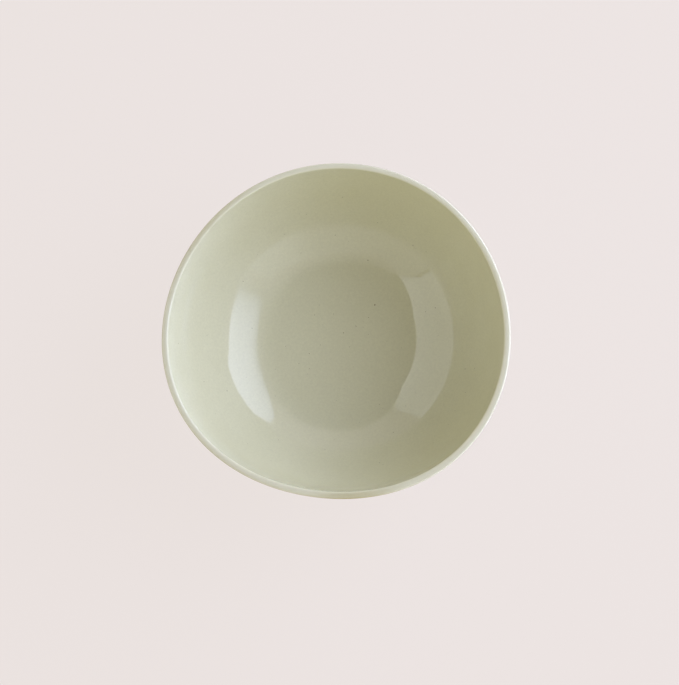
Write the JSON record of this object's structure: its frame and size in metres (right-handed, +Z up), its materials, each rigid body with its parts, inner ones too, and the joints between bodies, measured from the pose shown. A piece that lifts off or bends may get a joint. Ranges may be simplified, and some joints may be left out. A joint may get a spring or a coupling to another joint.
{
  "type": "bowl",
  "caption": "Round, slightly uneven hand-formed stoneware bowl with a rounded lip, a low foot ring and a glossy pale celadon glaze inside and out.",
  "frame": {"origin": "centre of the foot ring, on the surface that the bowl stands on", "axes": "+Z up out of the bowl along the foot ring's axis, +X along the long axis of the slightly oval rim"},
  "size_m": [0.1653, 0.1615, 0.0645],
  "materials": {
    "stoneware": "matte",
    "celadon_glaze": "gloss",
    "lip_glaze": "gloss"
  },
  "bodies": {
    "root": {"clay_body": "stoneware", "foot_ring": "stoneware", "inner_glaze": "celadon_glaze", "lip_glaze": "lip_glaze", "outer_glaze": "celadon_glaze", "base_glaze": "celadon_glaze"}
  },
  "joints": []
}
